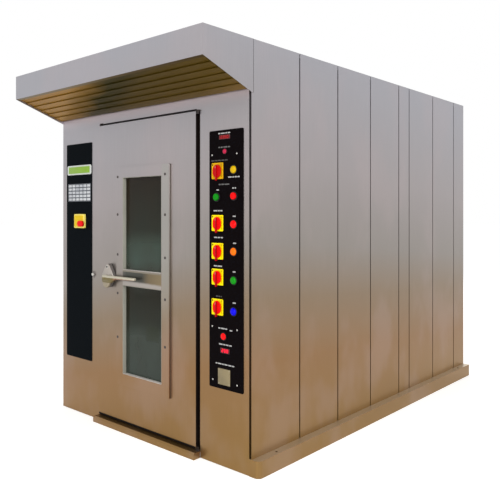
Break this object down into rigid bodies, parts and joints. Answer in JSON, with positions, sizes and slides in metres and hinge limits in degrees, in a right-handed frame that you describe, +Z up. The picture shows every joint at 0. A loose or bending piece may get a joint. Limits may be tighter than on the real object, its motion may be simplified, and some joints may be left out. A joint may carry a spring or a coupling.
{
  "type": "rotating rack oven",
  "caption": "Stainless walk-in baking oven with a windowed door, canopy hood, control panels and a turning carrier for a trolley of trays, heated by a fired heater behind the chamber.",
  "frame": {"origin": "on the floor under the middle of the whole oven, hood and plinth included", "axes": "+X to the right seen from the front, +Y from the door to the rear, +Z up"},
  "size_m": [1.9, 3.108, 2.582],
  "materials": {
    "casing_steel": "brushed stainless sheet",
    "inner_steel": "bright stainless sheet",
    "polished_steel": "polished stainless",
    "heat_steel": "heat-stained steel",
    "machine_steel": "machined steel",
    "cast_handle": "satin cast alloy",
    "wool": "mineral wool",
    "burner_red": "enamel",
    "motor_blue": "enamel",
    "seal_black": "black seal",
    "plate_black": "gloss black panel",
    "switch_yellow": "moulded",
    "knob_red": "moulded",
    "button_green": "moulded",
    "ring_grey": "plated ring",
    "lens_amber": "translucent lens",
    "display_red": "figure display",
    "label_grey": "satin plate",
    "unit_cream": "moulded",
    "pane": "toughened glass"
  },
  "bodies": {
    "cabinet": {"base_frame": "casing_steel", "door_sill": "casing_steel", "chamber_floor": "inner_steel", "liner_walls": "inner_steel", "liner_roof": "inner_steel", "bulkhead": "inner_steel", "supply_duct": "inner_steel", "return_duct": "inner_steel", "insulation": "wool", "combustion_chamber": "heat_steel", "heat_exchanger": "heat_steel", "burner": "burner_red", "flue_stack": "inner_steel", "fan_deck": "inner_steel", "fan_motor": "motor_blue", "steam_cascade": "heat_steel", "gearmotor": "motor_blue", "pivot_bearing": "machine_steel", "roof_panels": "casing_steel", "rear_panels": "casing_steel", "service_panel": "casing_steel", "front_panel": "casing_steel", "side_panels_left": "casing_steel", "side_panels_right": "casing_steel", "seam_strips": "seal_black", "hood_shell": "casing_steel", "hood_slats": "polished_steel", "exhaust_collars": "inner_steel", "door_jamb": "casing_steel", "jamb_seal": "seal_black", "hinge_brackets": "machine_steel", "door_keeper": "polished_steel", "control_plates": "plate_black", "selector_switches": "switch_yellow", "lamp_rings": "ring_grey", "lamp_lenses": "lens_amber", "displays": "display_red", "label_plates": "label_grey", "controller_unit": "unit_cream", "starter_box": "switch_yellow"},
    "door": {"door_skin": "casing_steel", "door_core": "wool", "door_liner": "inner_steel", "window_frame": "casing_steel", "door_glass": "pane", "door_gasket": "seal_black", "handle_base": "cast_handle"},
    "latch": {"latch_lever": "cast_handle"},
    "selector_knob_1": {"selector_1": "knob_red"},
    "selector_knob_2": {"selector_2": "knob_red"},
    "selector_knob_3": {"selector_3": "knob_red"},
    "selector_knob_4": {"selector_4": "knob_red"},
    "selector_knob_5": {"selector_5": "knob_red"},
    "start_plunger": {"start_button": "button_green"},
    "stop_plunger": {"stop_button": "knob_red"},
    "starter_plunger": {"starter_button": "knob_red"},
    "carrier": {"turntable": "inner_steel", "carrier_frame": "inner_steel"},
    "blower": {"fan_wheel": "machine_steel"},
    "damper": {"flue_damper": "machine_steel"}
  },
  "joints": [
    {"name": "door_swing", "type": "hinge", "parent": "cabinet", "child": "door", "pos_m": [0.499, -1.2, 1], "axis": [0, 0, 1], "range_deg": [0, 110]},
    {"name": "latch_turn", "type": "hinge", "parent": "door", "child": "latch", "pos_m": [-0.315, -1.196, 0.965], "axis": [0, 1, 0], "range_deg": [0, 90]},
    {"name": "selector_1_turn", "type": "hinge", "parent": "cabinet", "child": "selector_knob_1", "pos_m": [0.653, -1.196, 1.617], "axis": [0, 1, 0], "range_deg": [0, 90]},
    {"name": "selector_2_turn", "type": "hinge", "parent": "cabinet", "child": "selector_knob_2", "pos_m": [0.653, -1.196, 1.33], "axis": [0, 1, 0], "range_deg": [0, 90]},
    {"name": "selector_3_turn", "type": "hinge", "parent": "cabinet", "child": "selector_knob_3", "pos_m": [0.653, -1.196, 1.176], "axis": [0, 1, 0], "range_deg": [0, 90]},
    {"name": "selector_4_turn", "type": "hinge", "parent": "cabinet", "child": "selector_knob_4", "pos_m": [0.653, -1.196, 1.034], "axis": [0, 1, 0], "range_deg": [0, 90]},
    {"name": "selector_5_turn", "type": "hinge", "parent": "cabinet", "child": "selector_knob_5", "pos_m": [0.653, -1.196, 0.869], "axis": [0, 1, 0], "range_deg": [0, 90]},
    {"name": "start_push", "type": "slide", "parent": "cabinet", "child": "start_plunger", "axis": [0, 1, 0], "range_m": [0, 0.005], "stiffness_N_per_m": 400, "springref_m": -0.002},
    {"name": "stop_push", "type": "slide", "parent": "cabinet", "child": "stop_plunger", "axis": [0, 1, 0], "range_m": [0, 0.005], "stiffness_N_per_m": 400, "springref_m": -0.002},
    {"name": "starter_push", "type": "slide", "parent": "cabinet", "child": "starter_plunger", "axis": [0, 1, 0], "range_m": [0, 0.005], "stiffness_N_per_m": 400, "springref_m": -0.002},
    {"name": "carrier_turn", "type": "hinge", "parent": "cabinet", "child": "carrier", "pos_m": [0, -0.386, 0.05], "axis": [0, 0, 1], "continuous": true},
    {"name": "blower_spin", "type": "hinge", "parent": "cabinet", "child": "blower", "pos_m": [0, 0.70406, 2], "axis": [0, 0, 1], "continuous": true},
    {"name": "damper_turn", "type": "hinge", "parent": "cabinet", "child": "damper", "pos_m": [-0.2, 1.114, 2.352], "axis": [1, 0, 0], "range_deg": [0, 90]}
  ]
}
